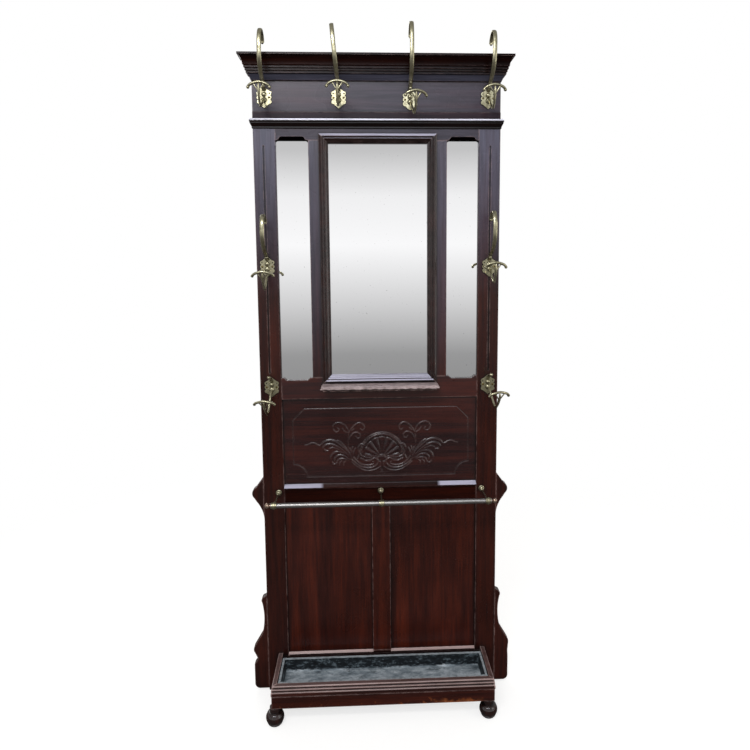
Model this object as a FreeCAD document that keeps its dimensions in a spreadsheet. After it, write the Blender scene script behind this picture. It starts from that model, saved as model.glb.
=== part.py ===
"""Hall tree: mirrored back frame, eight brass hooks, umbrella rail and a lift-out drip tray.

Units are millimetres.  +Z is up, +X runs to the right as seen from the front, and the front
looks along -Y.  The origin is the middle of the footprint, at floor level.
"""
import FreeCAD, Part
import math
import os

import Sketcher

# ---------------------------------------------------------------- driving dimensions
SIZES = {
    # back frame
    "frame_width": 760, "frame_thick": 28, "stile_wide": 67, "lap_thick": 8,
    "rebate": 7, "mirror_setback": 10, "panel_setback": 7,
    # the frame's rails and fields, stacked from the foot upwards
    "bottom_rail_low": 40, "bottom_rail_high": 90, "lower_panel_high": 520, "lower_rail_high": 48,
    "carved_high": 296, "mid_rail_high": 69, "mirror_high": 737, "top_rail_high": 63,
    "frieze_band_high": 21, "frieze_high": 92, "cornice_high": 71, "cap_thick": 12,
    # muntins, mirrors and panels
    "muntin_wide": 46.5, "lower_muntin_wide": 60,
    "arch_rise": 11, "arch_inset": 18, "notch_drop": 8, "notch_inset": 15,
    "mirror_thick": 4, "backboard_thick": 8, "panel_thick": 12, "fit_gap": 0.3,
    "glass_half": 153, "glass_margin": 9, "mould_wide": 28, "mould_proud": 12,
    "mould_tongue": 14, "groove_at": 31, "groove_wide": 5, "groove_deep": 3,
    "groove_stop": 18, "frieze_setback": 4, "chamfer_size": 4,
    # applied mouldings
    "cornice_out": 35, "neck_out": 9, "neck_high": 29, "sill_out": 4, "sill_high": 14,
    "shelf_past": 6, "shelf_deep": 62, "shelf_high": 16, "shelf_step": 5,
    # shaped side pieces
    "ear_drop": 50, "ear_high": 138, "ear_out": 38, "wing_low": 8, "wing_high": 336,
    "wing_out": 48,
    "nub_out": 16, "waist_out": 11, "left_chip": 12, "right_chip": 2, "side_thick": 22,
    # umbrella base
    "base_out": 165, "base_inset": 31, "base_low": 58, "base_board_high": 39, "base_mould_high": 34,
    "board_thick": 16, "board_inset": 1.5, "floor_rise": 30, "floor_thick": 8,
    "back_board_drop": 11, "block_size": 30, "block_high": 22,
    # drip tray
    "tray_gap": 3, "tray_back": 24, "tray_drop": 2, "tray_wall": 1.5, "tray_taper": 5,
    "tray_rim": 5, "tray_lift_gap": 0.3,
    # turned feet
    "left_foot_inset": 10, "right_foot_inset": 19, "foot_back": 15, "foot_bulb": 28,
    "foot_neck": 16, "foot_pad": 15,
    "dowel_rad": 6, "dowel_long": 14, "dowel_gap": 0.1,
    # umbrella rail
    "rail_drop": 12, "rail_out": 106, "bracket_inset": 49, "tube_rad": 8, "tube_wall": 1.5,
    "tube_past": 3, "ring_rad": 11.5, "ring_wide": 15, "ball_rad": 8, "ball_past": 21,
    "rosette_rad": 9.5, "stem_rad": 2.9, "stud_rad": 2.5, "stud_long": 16, "slip": 0.05,
    # hooks
    "plate_half": 15.5, "plate_high": 63, "plate_thick": 3, "lobe_rad": 6.5, "lobe_pitch": 12.5,
    "lobe_hole": 2, "hook_reach": 100, "arm_reach": 86, "arm_half": 6.2, "arm_thin": 2.6,
    "crescent_half": 31, "crescent_rad": 4, "crescent_drop": 13.5, "screw_rad": 2, "screw_head": 4, "screw_long": 16,
}

# sizes that follow from the ones above
DERIVED = {
    "bottom_rail_top": "bottom_rail_low + bottom_rail_high",
    "lower_rail_low": "bottom_rail_top + lower_panel_high",
    "lower_rail_top": "lower_rail_low + lower_rail_high",
    "mid_rail_low": "lower_rail_top + carved_high",
    "mid_rail_top": "mid_rail_low + mid_rail_high",
    "top_rail_low": "mid_rail_top + mirror_high",
    "neck_top": "top_rail_low + top_rail_high",
    "frieze_band_top": "neck_top + frieze_band_high",
    "cornice_low": "frieze_band_top + frieze_high",
    "cornice_top": "cornice_low + cornice_high",
    "muntin_inner": "glass_half + mould_tongue",
    "muntin_outer": "muntin_inner + muntin_wide",
    "glass_low": "mid_rail_top + glass_margin",
    "glass_top": "top_rail_low - glass_margin",
    "groove_low": "mid_rail_top + groove_stop",
    "groove_top": "top_rail_low - groove_stop",
    "shelf_half": "glass_half + mould_wide + shelf_past",
    "ear_low": "lower_rail_low - ear_drop",
    "base_half": "frame_width / 2 - base_inset",
    "base_board_top": "base_low + base_board_high",
    "base_top": "base_board_top + base_mould_high",
    "base_back_top": "base_top - back_board_drop",
    "floor_top": "base_low + floor_rise",
    "tray_top": "base_top - tray_drop",
    "foot_past": "foot_bulb - foot_back",
    "rail_up": "lower_rail_top - rail_drop",
    "bracket_at": "frame_width / 2 - bracket_inset",
    "frieze_mid": "frieze_band_top + frieze_high / 2",
    "mirror_mid": "mid_rail_top + mirror_high / 2",
}

# Each hook: label, what it stands from across (-1 left edge, 0 middle, 1 right edge) and how far,
# what it stands from in height and how far, rise of the coat arm (0 = broken-off stub), its lean,
# then the droop and turn of the lower arm in degrees
HOOKS = [
    ("frieze_hook_1", -1, 37, "frieze_mid", -4, 177, 3, 0, 0),
    ("frieze_hook_2", 0, -118, "frieze_mid", -4, 193, -16, -3, 0),
    ("frieze_hook_3", 0, 100, "frieze_mid", -9, 206, 0, 9, 6),
    ("frieze_hook_4", 1, -39, "frieze_mid", -4, 178, 3, 2, 0),
    ("left_upper_hook", -1, 33, "mirror_mid", -15.5, 155, 0, 18, 0),
    ("right_upper_hook", 1, -31, "mirror_mid", -19.5, 168, 0, 3, 0),
    ("left_lower_hook", -1, 36, "mid_rail_top", -28, 0, 0, 23, -6),
    ("right_lower_hook", 1, -32, "mid_rail_top", -29, 0, 0, 13, 10),
]
ARM_TALL = 143

os.makedirs("parts", exist_ok=True)
doc = FreeCAD.newDocument("hall_tree")
sheet = doc.addObject("Spreadsheet::Sheet", "Sizes")
formulas = {alias: "=" + text for alias, text in DERIVED.items()}
for row, (alias, entry) in enumerate({**SIZES, **formulas}.items(), start=1):
    sheet.set(f"A{row}", alias)
    sheet.set(f"B{row}", str(entry))
    sheet.setAlias(f"B{row}", alias)
doc.recompute()

PARTS = []
V = FreeCAD.Vector
BALL_NECK_ANGLE = math.radians(64)


# ---------------------------------------------------------------- sizes that carry their formula
class Size:
    """A number together with the spreadsheet formula that it comes from."""

    def __init__(self, value, text):
        self.value = float(value)
        self.text = text

    def __add__(self, other):
        other = size(other)
        return Size(self.value + other.value, f"({self.text} + {other.text})")

    def __sub__(self, other):
        other = size(other)
        return Size(self.value - other.value, f"({self.text} - {other.text})")

    def __mul__(self, other):
        other = size(other)
        return Size(self.value * other.value, f"({self.text} * {other.text})")

    def __truediv__(self, other):
        other = size(other)
        return Size(self.value / other.value, f"({self.text} / {other.text})")

    def __neg__(self):
        return Size(-self.value, f"(0 - {self.text})")

    def __radd__(self, other):
        return size(other) + self

    def __rsub__(self, other):
        return size(other) - self

    def __rmul__(self, other):
        return size(other) * self


def size(thing):
    """Turn a plain number into a Size; leave a Size as it is."""
    return thing if isinstance(thing, Size) else Size(thing, repr(float(thing)))


def cell(alias):
    return Size(getattr(sheet, alias), f"Sizes.{alias}")


class Cells:
    """Attribute access to the spreadsheet: S.frame_width and so on."""

    def __getattr__(self, alias):
        return cell(alias)


S = Cells()

# places that several pieces share
HALF = S.frame_width / 2
STILE_IN = HALF - S.stile_wide
FRONT = (S.base_out + S.foot_past - S.frame_thick) / 2
BACK = FRONT + S.frame_thick
BASE_FRONT = FRONT - S.base_out
TENON_BACK = BACK - S.lap_thick
CAP_LOW = S.cornice_top - S.cap_thick


# ---------------------------------------------------------------- building helpers
def bind(thing, **formulas):
    """Bind properties of an object to formulas; a double underscore stands for a dot."""
    for name, amount in formulas.items():
        thing.setExpression(name.replace("__", "."), size(amount).text)


def part(thing, label):
    """Mark an object as a finished piece that is exported under its label."""
    thing.Label = label
    PARTS.append(thing)
    return thing


def place(thing, x=0, y=0, z=0):
    bind(thing, Placement__Base__x=x, Placement__Base__y=y, Placement__Base__z=z)
    return thing


def box(name, across, deep, high):
    """A box between two places along each axis."""
    thing = doc.addObject("Part::Box", name)
    bind(thing, Length=across[1] - across[0], Width=deep[1] - deep[0], Height=high[1] - high[0])
    return place(thing, across[0], deep[0], high[0])


def cylinder(name, radius, height, at, axis="z"):
    """A cylinder that starts at a place and runs along +x, +y or +z."""
    thing = doc.addObject("Part::Cylinder", name)
    turn = {"x": (V(0, 1, 0), 90), "y": (V(1, 0, 0), -90), "z": (V(0, 0, 1), 0)}[axis]
    thing.Placement = FreeCAD.Placement(V(0, 0, 0), FreeCAD.Rotation(*turn))
    bind(thing, Radius=radius, Height=height)
    return place(thing, *at)


def fused(name, pieces):
    thing = doc.addObject("Part::MultiFuse", name)
    thing.Shapes = pieces
    return thing


def compound(name, pieces):
    """Several solids that share one node."""
    thing = doc.addObject("Part::Compound", name)
    thing.Links = pieces
    return thing


def cut(name, base, tools):
    """Cut a list of tools away from a piece."""
    tool = tools[0] if len(tools) == 1 else fused(name + "_tools", tools)
    thing = doc.addObject("Part::Cut", name)
    thing.Base = base
    thing.Tool = tool
    return thing


def body(name):
    return doc.addObject("PartDesign::Body", name)


def sketch_on(owner, name, role):
    """A sketch on one of the body's own origin planes."""
    plane = [item for item in owner.Origin.OriginFeatures if item.Role == role][0]
    drawing = owner.newObject("Sketcher::SketchObject", name)
    drawing.AttachmentSupport = [(plane, "")]
    drawing.MapMode = "FlatFace"
    return drawing


def draw(drawing, corners):
    """Draw a closed outline.  Each corner is (x, y), or (x, y, mid) where mid is a point that the
    arc to the next corner passes through."""
    flat = [(size(c[0]), size(c[1]), c[2] if len(c) > 2 else None) for c in corners]
    loose = []
    for number, (x, y, mid) in enumerate(flat):
        after = flat[(number + 1) % len(flat)]
        start = V(x.value, y.value, 0)
        end = V(after[0].value, after[1].value, 0)
        near = 1
        if mid is None:
            geometry = Part.LineSegment(start, end)
        else:
            through = V(size(mid[0]).value, size(mid[1]).value, 0)
            geometry = Part.Arc(start, through, end)
            near = 1 if (through - start).cross(end - through).z > 0 else 2
        loose.append((drawing.addGeometry(geometry, False), near))
    for number, (x, y, _) in enumerate(flat):
        index, near = loose[number]
        before, before_near = loose[number - 1]
        drawing.addConstraint(Sketcher.Constraint("Coincident", before, 3 - before_near, index, near))
        for kind, amount in (("DistanceX", x), ("DistanceY", y)):
            rule = drawing.addConstraint(Sketcher.Constraint(kind, -1, 1, index, near, amount.value))
            drawing.setExpression(f"Constraints[{rule}]", amount.text)
    return drawing


def pad(owner, drawing, length, midplane=False, reverse=False):
    feature = owner.newObject("PartDesign::Pad", drawing.Name + "_pad")
    feature.Profile = drawing
    feature.Midplane = midplane
    feature.Reversed = reverse
    bind(feature, Length=length)
    return feature


def front_plate(name, corners, near, far):
    """A flat piece cut to an outline in the XZ plane, between two places along Y."""
    owner = body(name)
    drawing = draw(sketch_on(owner, name + "_outline", "XZ_Plane"), corners)
    pad(owner, drawing, far - near, reverse=True)
    return place(owner, y=near)


def bar_of_section(name, section, left, right):
    """A bar along X with an outline in the YZ plane, between two places along X."""
    owner = body(name)
    drawing = draw(sketch_on(owner, name + "_section", "YZ_Plane"), section)
    pad(owner, drawing, right - left)
    return place(owner, x=left)


def mirrored_section(section):
    """Section points given as (outwards, up) turned into the sketch's (y, z)."""
    turned = []
    for point in section:
        mid = (-size(point[2][0]), point[2][1]) if len(point) > 2 else None
        turned.append((-size(point[0]), point[1]) + ((mid,) if mid else ()))
    return turned


def moulding(name, section, inner, out, ends):
    """A moulding run along X with its back on y = 0 and its face towards -Y.

    inner is its length along the back; ends says which ends (left, right) are mitred outwards."""
    owner = body(name)
    drawing = draw(sketch_on(owner, name + "_section", "YZ_Plane"), mirrored_section(section))
    pad(owner, drawing, inner + 2 * out, midplane=True)
    half = inner / 2
    reach = out + 10
    for sign, mitred in ((-1, ends[0]), (1, ends[1])):
        lead = reach if mitred else size(0)
        corners = [
            (sign * (half - 10 if mitred else half), 10),
            (sign * (half + lead), -reach),
            (sign * (half + reach + 10), -reach),
            (sign * (half + reach + 10), 10),
        ]
        trim = draw(sketch_on(owner, f"{name}_trim_{'left' if sign < 0 else 'right'}", "XY_Plane"),
                    corners)
        pocket = owner.newObject("PartDesign::Pocket", trim.Name + "_cut")
        pocket.Profile = trim
        pocket.Type = "ThroughAll"
        pocket.Midplane = True
    return owner


def turned(name, profile, at):
    """A turned piece: profile points are (radius, height), about a vertical axis."""
    owner = body(name)
    drawing = draw(sketch_on(owner, name + "_profile", "XZ_Plane"), profile)
    feature = owner.newObject("PartDesign::Revolution", name + "_turning")
    feature.Profile = drawing
    feature.ReferenceAxis = (drawing, ["V_Axis"])
    feature.Angle = 360
    return place(owner, *at)


def spin(thing, axis, angle):
    """Turn a piece about its own origin before its place is bound."""
    thing.Placement.Rotation = FreeCAD.Rotation(axis, angle)
    return thing


def solid_of(name, shape):
    """A piece whose shape is worked out with Part's own functions."""
    thing = doc.addObject("Part::Feature", name)
    thing.Shape = shape
    return thing


# ---------------------------------------------------------------- openings and their rebates
def opening(name, across, high, setback):
    """The rebate behind an opening, cut from the back of every member around it."""
    return box(name, (across[0] - S.rebate, across[1] + S.rebate), (FRONT + setback, BACK + 1),
               (high[0] - S.rebate, high[1] + S.rebate))


ARCH_TOP = S.top_rail_low + S.arch_rise
NOTCH_LOW = S.mid_rail_top - S.notch_drop
GAP = S.fit_gap
MUNTIN_HALF = S.lower_muntin_wide / 2
REBATES = {
    "left_mirror": opening("left_mirror_rebate", (-STILE_IN, -S.muntin_outer),
                           (NOTCH_LOW, ARCH_TOP), S.mirror_setback),
    "right_mirror": opening("right_mirror_rebate", (S.muntin_outer, STILE_IN),
                            (NOTCH_LOW, ARCH_TOP), S.mirror_setback),
    "carved": opening("carved_rebate", (-STILE_IN, STILE_IN),
                      (S.lower_rail_top, S.mid_rail_low), S.panel_setback),
    "left_panel": opening("left_panel_rebate", (-STILE_IN, -MUNTIN_HALF),
                          (S.bottom_rail_top, S.lower_rail_low), S.panel_setback),
    "right_panel": opening("right_panel_rebate", (MUNTIN_HALF, STILE_IN),
                           (S.bottom_rail_top, S.lower_rail_low), S.panel_setback),
}


def fitted(name, across, high, near, thick):
    """A mirror, panel or board that fills its rebate with a small gap all round."""
    edge = S.rebate - GAP
    return part(box(name, (across[0] - edge, across[1] + edge), (near, near + thick),
                    (high[0] - edge, high[1] + edge)), name)


# ---------------------------------------------------------------- screw and stud holes
def hook_place(row):
    """Where the middle of a hook's plate stands: (across, height)."""
    return row[1] * HALF + row[2], cell(row[3]) + row[4]


def hook_screw_places(label):
    """Two screws through the middle of each plate: (across, height)."""
    across, high = hook_place([row for row in HOOKS if row[0] == label][0])
    half = S.plate_half.value
    return [(across.value - half, high.value), (across.value + half, high.value)]


def hook_holes(labels, face):
    """Clearance holes for the screws of several hooks, as one tool shape."""
    drills = []
    for label in labels:
        for across, high in hook_screw_places(label):
            start = V(across, face.value - 1, high)
            drills.append(Part.makeCylinder(S.screw_rad.value + S.slip.value,
                                            S.screw_long.value + 2, start, V(0, 1, 0)))
    return solid_of(labels[0] + "_holes", Part.makeCompound(drills))


def stud_hole(name, across):
    return cylinder(name, S.stud_rad + S.slip, S.stud_long + 2, (across, FRONT - 1, S.rail_up), "y")


# ---------------------------------------------------------------- back frame
def make_stile(side, label, openings, hooks):
    """Full-height stile with a stopped groove, a rear lap behind the frieze and chamfered edge."""
    low, high = sorted((side * HALF, side * STILE_IN), key=lambda edge: edge.value)
    post = box(label + "_post", (low, high), (FRONT, BACK), (size(0), S.neck_top))
    lap = box(label + "_lap", (low, high), (TENON_BACK, BACK), (S.neck_top, CAP_LOW))
    centre = side * (HALF - S.groove_at)
    half = S.groove_wide / 2
    run = box(label + "_groove", (centre - half, centre + half), (FRONT - 1, FRONT + S.groove_deep),
              (S.groove_low, S.groove_top))
    stops = [cylinder(f"{label}_stop_{name}", half, S.groove_deep + 1, (centre, FRONT - 1, level), "y")
             for name, level in (("low", S.groove_low), ("top", S.groove_top))]
    edge = doc.addObject("Part::Box", label + "_chamfer")
    edge.Placement.Rotation = FreeCAD.Rotation(V(0, 0, 1), 45)
    bind(edge, Length=S.chamfer_size, Width=S.chamfer_size, Height=S.groove_top - S.groove_low)
    place(edge, side * STILE_IN, FRONT - S.chamfer_size * math.sqrt(0.5), S.groove_low)
    tools = [run, edge, hook_holes(hooks, FRONT), stud_hole(label + "_stud_hole", side * S.bracket_at)]
    tools += stops + [REBATES[key] for key in openings]
    return part(cut(label + "_cut", fused(label + "_blank", [post, lap]), tools), label)


def make_top_rail():
    """Rail over the mirrors, with a shallow ogee-shouldered arch over each side mirror."""
    rise = S.arch_rise
    inset = S.arch_inset
    low = S.top_rail_low
    centre_low = S.glass_top + S.mould_tongue

    def arch(outer, inner, step):
        """Corners of one arch, from its stile end to its muntin end or back."""
        near = outer + step * inset
        far = inner - step * inset
        return [
            (outer, low, (outer + step * inset * 0.35, low + rise * 0.12)),
            (outer + step * inset * 0.6, low + rise * 0.5,
             (outer + step * inset * 0.78, low + rise * 0.88)),
            (near, low + rise),
            (far, low + rise, (inner - step * inset * 0.78, low + rise * 0.88)),
            (inner - step * inset * 0.6, low + rise * 0.5,
             (inner - step * inset * 0.35, low + rise * 0.12)),
        ]

    corners = [(-STILE_IN, S.neck_top)] + arch(-STILE_IN, -S.muntin_outer, 1)
    corners += [(-S.muntin_outer, low), (-S.muntin_inner, low), (-S.muntin_inner, centre_low),
                (S.muntin_inner, centre_low), (S.muntin_inner, low)]
    corners += arch(S.muntin_outer, STILE_IN, 1) + [(STILE_IN, low), (STILE_IN, S.neck_top)]
    blank = front_plate("top_rail_blank", corners, FRONT, BACK)
    tools = [REBATES["left_mirror"], REBATES["right_mirror"]]
    return part(cut("top_rail_cut", blank, tools), "mirror_top_rail")


def make_mid_rail():
    """Rail under the mirrors; its top edge dips between two small notched corners."""
    top = S.mid_rail_top
    dip = S.notch_drop
    inset = S.notch_inset
    centre_top = S.glass_low - S.mould_tongue

    def notch(outer, inner, step):
        mid = dip * 0.5
        return [
            (outer, top),
            (outer + step * inset * 0.6, top, (outer + step * inset * 0.68, top - dip * 0.35)),
            (outer + step * inset * 0.86, top - mid, (outer + step * inset * 0.96, top - dip * 0.8)),
            (outer + step * inset * 1.2, top - dip),
            (inner - step * inset * 1.2, top - dip, (inner - step * inset * 0.96, top - dip * 0.8)),
            (inner - step * inset * 0.86, top - mid, (inner - step * inset * 0.68, top - dip * 0.35)),
            (inner - step * inset * 0.6, top),
        ]

    corners = [(-STILE_IN, S.mid_rail_low)] + notch(-STILE_IN, -S.muntin_outer, 1)
    corners += [(-S.muntin_inner, top), (-S.muntin_inner, centre_top),
                (S.muntin_inner, centre_top), (S.muntin_inner, top)]
    corners += notch(S.muntin_outer, STILE_IN, 1) + [(STILE_IN, top), (STILE_IN, S.mid_rail_low)]
    blank = front_plate("mid_rail_blank", corners, FRONT, BACK)
    tools = [REBATES[key] for key in ("left_mirror", "right_mirror", "carved")]
    return part(cut("mid_rail_cut", blank, tools), "mirror_bottom_rail")


def make_frame():
    """Stiles, rails and muntins of the back."""
    make_stile(-1, "left_stile", ("left_mirror", "carved", "left_panel"),
               ("left_upper_hook", "left_lower_hook"))
    make_stile(1, "right_stile", ("right_mirror", "carved", "right_panel"),
               ("right_upper_hook", "right_lower_hook"))
    make_top_rail()
    make_mid_rail()
    for side, name in ((-1, "left"), (1, "right")):
        low, high = sorted((side * S.muntin_outer, side * S.muntin_inner), key=lambda edge: edge.value)
        blank = box(name + "_muntin_blank", (low, high), (FRONT, BACK), (S.mid_rail_top, S.top_rail_low))
        part(cut(name + "_muntin_cut", blank, [REBATES[name + "_mirror"]]), name + "_mirror_muntin")
    blank = box("lower_rail_blank", (-STILE_IN, STILE_IN), (FRONT, BACK),
                (S.lower_rail_low, S.lower_rail_top))
    tools = [REBATES[key] for key in ("carved", "left_panel", "right_panel")]
    part(cut("lower_rail_cut", blank, tools + [stud_hole("rail_stud_hole", size(0))]), "lower_rail")
    blank = box("lower_muntin_blank", (-MUNTIN_HALF, MUNTIN_HALF), (FRONT, BACK),
                (S.bottom_rail_top, S.lower_rail_low))
    tools = [REBATES[key] for key in ("left_panel", "right_panel")]
    part(cut("lower_muntin_cut", blank, tools), "lower_muntin")
    blank = box("bottom_rail_blank", (-STILE_IN, STILE_IN), (FRONT, BACK),
                (S.bottom_rail_low, S.bottom_rail_top))
    bevels = []
    for side, name in ((-1, "left"), (1, "right")):
        start = -STILE_IN if side < 0 else MUNTIN_HALF
        edge = doc.addObject("Part::Box", name + "_bead_bevel")
        edge.Placement.Rotation = FreeCAD.Rotation(V(1, 0, 0), 45)
        bind(edge, Length=STILE_IN - MUNTIN_HALF, Width=S.chamfer_size * 2, Height=S.chamfer_size * 2)
        place(edge, start, FRONT, S.bottom_rail_top - S.chamfer_size * math.sqrt(2))
        bevels.append(edge)
    tools = [REBATES[key] for key in ("left_panel", "right_panel")]
    part(cut("bottom_rail_cut", blank, tools + bevels), "bottom_rail")


def make_infill():
    """Mirrors, their backboards, the carved panel and the two lower panels."""
    side_high = (NOTCH_LOW, ARCH_TOP)
    glass_at = FRONT + S.mirror_setback
    for side, name in ((-1, "left"), (1, "right")):
        low, high = sorted((side * S.muntin_outer, side * STILE_IN), key=lambda edge: edge.value)
        fitted(name + "_mirror", (low, high), side_high, glass_at, S.mirror_thick)
        fitted(name + "_backboard", (low, high), side_high, glass_at + S.mirror_thick,
               S.backboard_thick)
    centre = S.muntin_inner - GAP
    low = S.glass_low - S.mould_tongue + GAP
    high = S.glass_top + S.mould_tongue - GAP
    part(box("centre_mirror", (-centre, centre), (glass_at, glass_at + S.mirror_thick), (low, high)),
         "centre_mirror")
    part(box("centre_backboard", (-centre, centre),
             (glass_at + S.mirror_thick, glass_at + S.mirror_thick + S.backboard_thick), (low, high)),
         "centre_backboard")
    panel_at = FRONT + S.panel_setback
    fitted("carved_panel", (-STILE_IN, STILE_IN), (S.lower_rail_top, S.mid_rail_low), panel_at,
           S.panel_thick)
    fitted("left_lower_panel", (-STILE_IN, -MUNTIN_HALF), (S.bottom_rail_top, S.lower_rail_low),
           panel_at, S.panel_thick)
    fitted("right_lower_panel", (MUNTIN_HALF, STILE_IN), (S.bottom_rail_top, S.lower_rail_low),
           panel_at, S.panel_thick)


# ---------------------------------------------------------------- frieze, cornice and neck
def make_frieze():
    low = box("frieze_bottom_rail", (-HALF, HALF), (FRONT, TENON_BACK), (S.neck_top, S.frieze_band_top))
    part(low, "frieze_bottom_rail")
    blank = box("frieze_panel_blank", (-HALF, HALF), (FRONT + S.frieze_setback, TENON_BACK),
                (S.frieze_band_top, S.cornice_low))
    holes = hook_holes(tuple(hook[0] for hook in HOOKS[:4]), FRONT + S.frieze_setback)
    part(cut("frieze_panel_cut", blank, [holes]), "frieze_panel")
    top = box("frieze_top_rail", (-HALF, HALF), (FRONT, TENON_BACK), (S.cornice_low, CAP_LOW))
    part(top, "frieze_top_rail")
    part(box("cornice_top_board", (-HALF, HALF), (FRONT, BACK), (CAP_LOW, S.cornice_top)),
         "cornice_top_board")


def cornice_section():
    """Splayed foot, three reeds and a wide hollow splay under a square edge."""
    out = S.cornice_out
    high = S.cornice_high

    def at(share, level):
        return out * share, S.cornice_low + high * level

    return [
        at(0, 0), at(0.05, 0), at(0.27, 0.25), at(0.38, 0.25), at(0.38, 0.325), at(0.46, 0.35),
        at(0.46, 0.42), at(0.54, 0.45), at(0.54, 0.52), at(0.62, 0.565) + (at(0.70, 0.745),),
        at(0.92, 0.915), at(1, 0.915), at(1, 1), at(0, 1),
    ]


def neck_section():
    """Half-round bead over a splay and a small fillet."""
    out = S.neck_out
    high = S.neck_high

    def at(share, level):
        return out * share, S.neck_top - high * (1 - level)

    return [
        at(0, 0), at(0.12, 0), at(0.28, 0.07), at(0.28, 0.20), at(0.85, 0.55),
        at(0.85, 0.62) + (at(1, 0.79),), at(0.75, 1), at(0, 1),
    ]


def base_section():
    """Reeded top moulding of the umbrella base."""
    face = S.board_thick
    high = S.base_mould_high
    inset = S.board_inset

    def at(past, level):
        return face + past * inset, S.base_board_top + high * level

    return [
        (0, S.base_board_top), at(0, 0), at(1, 0.06), at(1, 0.32) + (at(0.27, 0.41),),
        at(-1, 0.44), at(-1, 0.5), at(0, 0.53) + (at(0.4, 0.62),), at(-0.33, 0.71), at(-2, 0.735),
        at(-2, 0.795), at(-1.33, 0.825) + (at(-1.47, 0.955),), at(-3.33, 1), (0, S.base_top),
    ]


def wrap(name, section, out, across, back_at, front_at, *labels):
    """A moulding across the front with a return down each side, mitred at the two corners.

    With one label the three lengths share a node; with three labels each has its own."""
    depth = back_at - front_at
    pieces = [place(moulding(name + "_front", section, 2 * across, out, (True, True)), y=front_at)]
    for side, ends in ((-1, (False, True)), (1, (True, False))):
        run = moulding(f"{name}_{'left' if side < 0 else 'right'}", section, depth, out, ends)
        spin(run, V(0, 0, 1), 90 * side)
        pieces.append(place(run, side * across, (front_at + back_at) / 2))
    if len(labels) == 1:
        part(compound(name + "_set", pieces), labels[0])
        return
    for piece, label in zip(pieces, labels):
        part(piece, label)


def make_mouldings():
    wrap("cornice", cornice_section(), S.cornice_out, HALF, BACK, FRONT,
         "cornice_front", "cornice_left_return", "cornice_right_return")
    wrap("neck", neck_section(), S.neck_out, HALF, BACK, FRONT,
         "neck_moulding")
    inner = S.base_half - S.board_thick - S.board_inset
    back_of_front = BASE_FRONT + S.board_thick + S.board_inset
    wrap("base_mould", base_section(), S.board_thick + S.board_inset, inner, FRONT, back_of_front,
         "base_moulding")


def mirror_mould_section():
    """Ribbed bolection section: (outwards from the glass, forwards)."""
    wide = S.mould_wide
    proud = S.mould_proud
    tongue = S.mould_tongue
    deep = S.mirror_setback

    def at(share, level):
        return wide * share, proud * level

    return [
        (0, -deep), (0, -deep * 0.4), (wide * 0.11, -deep * 0.3), at(0.11, 0.08), at(0.215, 0.17),
        at(0.215, 0.33), at(0.285, 0.42) + (at(0.39, 0.75),), at(0.5, 0.79), at(0.535, 0.71),
        at(0.57, 0.79), at(0.61, 0.83) + (at(0.715, 1),), at(0.82, 0.83), at(0.86, 0.67),
        at(1, 0.5), (wide, 0), (tongue, 0), (tongue, -deep),
    ]


def make_mirror_moulding():
    """Four mitred lengths round the centre mirror."""
    mid_high = (S.glass_low + S.glass_top) / 2
    half_high = (S.glass_top - S.glass_low) / 2
    runs = [
        ("top", 2 * S.glass_half, 180, size(0), S.glass_top),
        ("bottom", 2 * S.glass_half, 0, size(0), S.glass_low),
        ("left", 2 * half_high, 90, -S.glass_half, mid_high),
        ("right", 2 * half_high, 270, S.glass_half, mid_high),
    ]
    pieces = []
    for name, inner, angle, across, high in runs:
        run = moulding("mirror_mould_" + name, mirror_mould_section(), inner, S.mould_wide, (True, True))
        lay_flat = FreeCAD.Rotation(V(1, 0, 0), 90)
        run.Placement.Rotation = FreeCAD.Rotation(V(0, 1, 0), angle).multiply(lay_flat)
        pieces.append(place(run, across, FRONT, high))
    part(compound("mirror_mould_set", pieces), "mirror_moulding")


def make_sill_and_shelf():
    low = S.lower_rail_top
    face = FRONT + S.panel_setback
    section = [
        (face, low), (FRONT - S.sill_out, low), (FRONT - S.sill_out, low + 3),
        (FRONT - S.sill_out + 2, low + 5), (face - 3, low + S.sill_high - 2),
        (face - 2, low + S.sill_high), (face, low + S.sill_high),
    ]
    part(bar_of_section("sill", section, -STILE_IN, STILE_IN), "sill_moulding")
    step = S.shelf_step
    top = S.glass_low - S.mould_wide
    high = S.shelf_high
    layers = []
    for name, inset, below, above in (("top", step, top - 5, top), ("nose", size(0), top - 10, top - 5),
                                      ("foot", step * 1.6, top - high, top - 10)):
        layers.append(box("shelf_" + name, (-S.shelf_half + inset, S.shelf_half - inset),
                          (FRONT - S.shelf_deep + inset, FRONT), (below, above)))
    part(fused("shelf_layers", layers), "shelf_board")


# ---------------------------------------------------------------- shaped side pieces
def make_ear(side, label):
    """Pointed ear on the stile's outer edge at the height of the umbrella rail."""
    low = S.ear_low
    high = S.ear_high
    out = S.ear_out

    def at(share, level):
        return side * (HALF + out * share), low + high * level

    corners = [
        at(0, 1), at(0.53, 0.80) + (at(0.60, 0.775),), at(0.64, 0.755) + (at(0.98, 0.62),),
        at(0.80, 0.50), at(0.62, 0.42) + (at(0.22, 0.24),), at(0, 0),
    ]
    part(front_plate(label + "_outline", corners, FRONT, FRONT + S.side_thick), label)


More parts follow.
